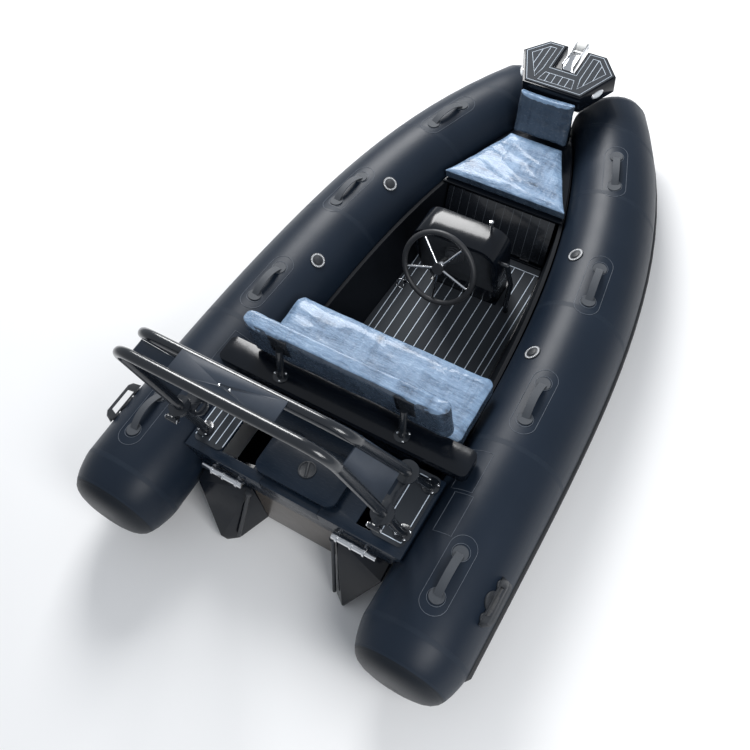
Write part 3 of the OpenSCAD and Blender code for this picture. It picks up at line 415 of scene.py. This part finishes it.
half = [(0, 1.266), inset_corner(aft, out_aft, 0.02), inset_corner(out_aft, out_fwd, 0.02),
        inset_corner(out_fwd, front, 0.02), (0.076, 1.565), (0.076, 1.388), (0, 1.388)]
rim_line = both([tuple(p) for p in half])
side_panel = [tuple(inset_corner(out_aft, out_fwd, 0.046)), tuple(inset_corner(out_fwd, front, 0.046)),
              (0.104, 1.539), (0.104, 1.372), (0.118, 1.298)]
middle_panel = [(-0.094, 1.286), (0.094, 1.286), (0.08, 1.350), (-0.08, 1.350)]


def ruled(panel, gap):
    rules, low, high = [], min(p[0] for p in panel), max(p[0] for p in panel)
    at = low + gap
    while at < high - gap / 3:
        cuts = sorted(a[1] + (b[1] - a[1]) * (at - a[0]) / (b[0] - a[0]) for a, b in zip(panel, panel[1:] + panel[:1])
                      if (a[0] - at) * (b[0] - at) < 0)
        if len(cuts) >= 2:
            rules.append([(at, cuts[0]), (at, cuts[-1])])
        at += gap
    return rules


open_lines = ruled(middle_panel, 0.037)
for rules in ruled(side_panel, 0.031):
    open_lines += both(rules)
line_height, line_width = 0.6062, 0.0034


def at_height(lines):
    return [[(*point, line_height) for point in line] for line in lines]


draw_lines("step_panel_edges", at_height(both(side_panel) + [middle_panel]), line_width, groove_white)
draw_lines("step_rim_line", at_height(rim_line), line_width, groove_white, closed=False)
draw_lines("step_rules", at_height(open_lines), line_width, groove_white)

# The arch: round aluminium tube bent to two hoops and powder coated satin black, with sheet
# plates welded between them.
arch_coat, shader, start = start_finish("satin_powder_coat", (0.012, 0.014, 0.018), 0.25,
                                        Coat_Weight=0.3, Coat_Roughness=0.15)
peel = start.mottle(180, 2)
feed(shader, Base_Color=start.mottle(8, 4).between((0.005, 0.007, 0.010, 1), (0.012, 0.015, 0.02, 1)),
     Roughness=0.16 + peel * 0.12)
raise_grain(shader, peel, 0.0003)
wear(arch_coat, ["arch_frame", "arch_feet", "grab_rail", "backrest_posts"], 0.001)
plate_coat, shader, start = start_finish("textured_plate_coat", (0.035, 0.042, 0.054), 0.5)
pebble = start.mottle(520, 3)
feed(shader, Base_Color=start.mottle(14, 5).between((0.014, 0.022, 0.036, 1), (0.026, 0.038, 0.058, 1)),
     Roughness=0.4 + pebble * 0.2)
raise_grain(shader, pebble, 0.0003)
wear(plate_coat, ["arch_plates"], 0.0008)

# Stainless fittings: ladders, pins, light post, wheel knob and bow bracket, polished with
# faint swirls.
steel, shader, start = start_finish("polished_stainless", (0.72, 0.73, 0.75), 0.12, Metallic=1.0)
swirl = start.mottle(90, 4, (1, 6, 1))
feed(shader, Base_Color=swirl.between((0.6, 0.61, 0.64, 1), (0.82, 0.83, 0.84, 1)),
     Roughness=0.07 + swirl * 0.16)
raise_grain(shader, swirl, 0.0001)
wear(steel, ["ladders", "arch_pins", "light_post", "wheel_knob", "roller_bracket"], 0.0008)

# The steering wheel: five polished spokes, a black cap over the hub, and a rim foamed in soft
# black plastic round the ends of the spokes.
wheel_finish, shader, start = start_finish("wheel_rim_and_spokes", (0.02, 0.02, 0.02), 0.4,
                                           Metallic=0.0)
x, y, z = start.axes()
hub_y, hub_z, tilt, rim_inside, cap_radius = 0.040, 0.505, math.radians(25), 0.163, 0.036
dy, dz = y - hub_y, z - hub_z
off = dy * math.cos(tilt) - dz * math.sin(tilt)
reach = start.maths("SQRT", x * x + dy * dy + dz * dz - off * off)
spokes = (reach < rim_inside) * (1 - (reach < cap_radius) * (off < -0.004))
skin = start.mottle(700, 3)
feed(shader, Base_Color=spokes.between(skin.between((0.012, 0.013, 0.015, 1), (0.028, 0.03, 0.034, 1)), (0.74, 0.75, 0.77, 1)),
     Metallic=spokes, Roughness=0.42 - spokes * 0.3 + skin * 0.08)
raise_grain(shader, skin * (1 - spokes), 0.0003)
wear(wheel_finish, ["steering_wheel"])

# The bow roller: white moulded nylon on a pin through its bracket, slightly grey where the
# anchor line has run.
nylon, shader, start = start_finish("white_nylon", (0.82, 0.82, 0.79), 0.4)
feed(shader, Base_Color=start.mottle(70, 4).between((0.66, 0.66, 0.63, 1), (0.88, 0.88, 0.86, 1)),
     Roughness=0.34 + start.mottle(150, 2) * 0.2)
raise_grain(shader, start.mottle(300, 2), 0.0002)
wear(nylon, ["bow_roller"], 0.001)

# Screws: domed stainless heads through the feet of the arch, the backrest's posts and the
# arch's top plate.
def screws(name, places, body="boat"):
    heads = bmesh.new()
    for at, out in places:
        bmesh.ops.create_uvsphere(heads, u_segments=14, v_segments=8, radius=0.0055,
                                  matrix=stand_on(Vector(at), Vector(out)) @ Matrix.Diagonal((1, 1, 0.5, 1)))
        bmesh.ops.create_cube(heads, size=1, matrix=stand_on(Vector(at), Vector(out)) @ Matrix.Translation((0, 0, 0.0025))
                              @ Matrix.Diagonal((0.007, 0.0012, 0.0008, 1)))
    return finish_mesh(name, heads, steel, body)


places = []
for side in (-1, 1):
    for foot in (-1.16, -0.93):
        places += [((side * 0.497 + 0.03 * math.cos(a), foot + 0.03 * math.sin(a), 0.474), (0, 0, 1))
                   for a in (0.6, 2.2, 3.8, 5.4)]
    places += [((side * 0.3095 + 0.027 * math.cos(a), -0.822 + 0.027 * math.sin(a), 0.5648), (0, 0, 1))
               for a in (0.8, 3.1, 5.2)]
screws("deck_screws", places)
screws("arch_top_screws", [((side * 0.021, -1.304, 1.4486), (0, 0, 1)) for side in (-1, 1)], "arch")

# Side lights: a pearly oval lens in a polished rim on each slanting side of the bow step.
lens_white, shader, start = start_finish("pearl_lens", (0.8, 0.84, 0.86), 0.15,
                                         Coat_Weight=0.8, Coat_Roughness=0.04)
feed(shader, Base_Color=start.mottle(60, 3, (1, 1, 8)).between((0.6, 0.66, 0.7, 1), (0.92, 0.94, 0.95, 1)))
raise_grain(shader, start.mottle(90, 2, (1, 1, 12)), 0.0003)
lamps, rims = bmesh.new(), bmesh.new()
for side in (-1, 1):
    out = Vector((side * 0.909, -0.417, 0.0)).normalized()
    base = stand_on(Vector((side * 0.2105, 1.356, 0.560)), out, Vector((0, 0, 1)))
    bmesh.ops.create_uvsphere(lamps, u_segments=32, v_segments=16, radius=1,
                              matrix=base @ Matrix.Diagonal((0.036, 0.018, 0.013, 1)))
    bmesh.ops.create_uvsphere(rims, u_segments=32, v_segments=16, radius=1,
                              matrix=base @ Matrix.Diagonal((0.042, 0.023, 0.006, 1)))
finish_mesh("side_light_lenses", lamps, lens_white)
finish_mesh("side_light_rims", rims, steel)

# The cushions: foam in slate blue-grey vinyl, each still in its clear delivery film. The film is
# slack and creases into folds down the sides and from the corners. Its colour is painted light: the
# tops are painted pale as if lit, the sides are painted near black as shade, and the folds are
# painted with dark shade in the creases and pale highlights on the ridges.
film, shader, start = start_finish("filmed_vinyl", (0.2, 0.3, 0.44), 0.2,
                                   Coat_Weight=0.35, Coat_Roughness=0.12)
long_fold = start.mottle(6, 5, (0.6, 3.4, 1.0), 0.55)
cross_fold = start.mottle(5, 5, (3.6, 0.7, 1.4), 0.55)
crinkle = start.mottle(38, 6, (0.8, 2.4, 1), 0.7)
patchy = start.mottle(2.2, 2)
ridge = long_fold * patchy + cross_fold * (1 - patchy)
# Painted shade and highlight: the fold pattern colours the creases dark and the ridges pale, in place of the film's
# shade and reflections.
painted_fold_shade_and_highlight = ridge.node("ShaderNodeValToRGB", {"stops": [
    (0.33, (0.018, 0.028, 0.045, 1)), (0.40, (0.10, 0.16, 0.25, 1)), (0.50, (0.17, 0.265, 0.40, 1)),
    (0.60, (0.22, 0.33, 0.48, 1)), (0.68, (0.40, 0.52, 0.66, 1))]}, {"Fac": ridge * 0.75 + crinkle * 0.25})
creases = (ridge - 0.5).size()
up = start.node("ShaderNodeSeparateXYZ", {}, {0: start.node("ShaderNodeTexCoord", out="Normal")}, 2)
lit_top = up > 0.45
# Painted light: faces that point up take the pale fold colours as if lit, and the other faces are painted near black
# as shade.
feed(shader, Base_Color=(lit_top * 0.8 + 0.2).between((0.012, 0.016, 0.024, 1), painted_fold_shade_and_highlight),
     Roughness=0.1 + crinkle * 0.3)
raise_grain(shader, ridge * 1.6 - creases * 0.8 + crinkle * 0.45, 0.012)


def stuffed_cushion(name, node, voxel, puff, swell):
    """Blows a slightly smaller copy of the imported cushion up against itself, then creases its film."""
    low, high = [Vector(c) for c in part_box(node)]
    centre, size = (low + high) / 2, high - low
    bm = bmesh.new()
    bm.from_mesh(nodes[node].data)
    bmesh.ops.remove_doubles(bm, verts=bm.verts, dist=0.00002)
    for v in bm.verts:
        v.co = centre + Vector(((v.co[i] - centre[i]) * (1 - 0.007 / size[i]) for i in range(3)))
    mesh = bpy.data.meshes.new(name)
    bm.to_mesh(mesh)
    bm.free()
    piece = bpy.data.objects.new(name, mesh)
    scene.collection.objects.link(piece)

    def settle():
        made = bpy.data.meshes.new_from_object(piece.evaluated_get(bpy.context.evaluated_depsgraph_get()))
        piece.modifiers.clear()
        piece.data = made

    skin = piece.modifiers.new("skin", "REMESH")
    skin.mode, skin.voxel_size = "VOXEL", voxel
    settle()
    start_places = [v.co.copy() for v in piece.data.vertices]
    cloth = piece.modifiers.new("fill", "CLOTH")
    cloth.settings.use_pressure = True
    cloth.settings.uniform_pressure_force = puff
    cloth.settings.effector_weights.gravity = 0
    cloth.settings.quality = 4
    for step in range(1, 21):
        scene.frame_set(step)
    settle()
    scene.frame_set(1)
    for v, first in zip(piece.data.vertices, start_places):
        move = v.co - first
        if move.length > swell:
            move *= swell / move.length
        if first.z < low.z + size.z * 0.12 and size.z < 0.1:
            move.z = max(move.z, 0)
        p = first + move
        fold = noise.ridged_multi_fractal(Vector((p.x * 3.0, p.y * 8.0 + p.x * 2.0, p.z * 5)), 1.0, 2.1, 4, 0.9, 2.0)
        away = (p - centre)
        away = Vector([away[i] / size[i] for i in range(3)]).normalized()
        v.co = p + away * min(0.004, max(-0.003, (fold - 1.1) * 0.0036))
    piece.data.polygons.foreach_set("use_smooth", [True] * len(piece.data.polygons))
    piece.data.materials.clear()
    piece.data.materials.append(film)
    soft = piece.modifiers.new("soft", "SUBSURF")
    soft.levels = soft.render_levels = 1
    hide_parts(node)
    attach(piece, "boat")


stuffed_cushion("bench_seat", "bench_cushion", 0.008, 4, 0.012)
stuffed_cushion("bench_backrest", "backrest_cushion", 0.007, 4, 0.010)
stuffed_cushion("bow_seat", "bow_seat_cushion", 0.007, 4, 0.010)
stuffed_cushion("bow_backrest", "bow_back_cushion", 0.006, 4, 0.005)

# The floor, plain and pale at the water's height, and soft studio light: a large lamp ahead to
# port, a smaller one aft to starboard, and a pale sky all round.
ground = bmesh.new()
bmesh.ops.create_grid(ground, x_segments=1, y_segments=1, size=25)
mesh = bpy.data.meshes.new("floor")
ground.to_mesh(mesh)
ground.free()
floor = bpy.data.objects.new("floor", mesh)
scene.collection.objects.link(floor)
pale, shader, start = start_finish("pale_floor", (0.86, 0.86, 0.86), 0.9)
mesh.materials.append(pale)
scene.view_settings.view_transform = "Standard"
world = bpy.data.worlds.new("studio")
scene.world = world
world.use_nodes = True
world.node_tree.nodes["Background"].inputs[0].default_value = (0.88, 0.93, 1.0, 1)
world.node_tree.nodes["Background"].inputs[1].default_value = 0.5
for name, at, size, power in (("key", (-2.6, 3.4, 4.2), 2.6, 380), ("side", (3.4, -2.2, 3.6), 2.0, 120)):
    light = bpy.data.lights.new(name, "AREA")
    light.size, light.energy = size, power
    lamp = bpy.data.objects.new(name, light)
    lamp.location = at
    lamp.rotation_euler = (Vector((0, 0, 0.3)) - Vector(at)).to_track_quat("-Z", "Y").to_euler()
    scene.collection.objects.link(lamp)
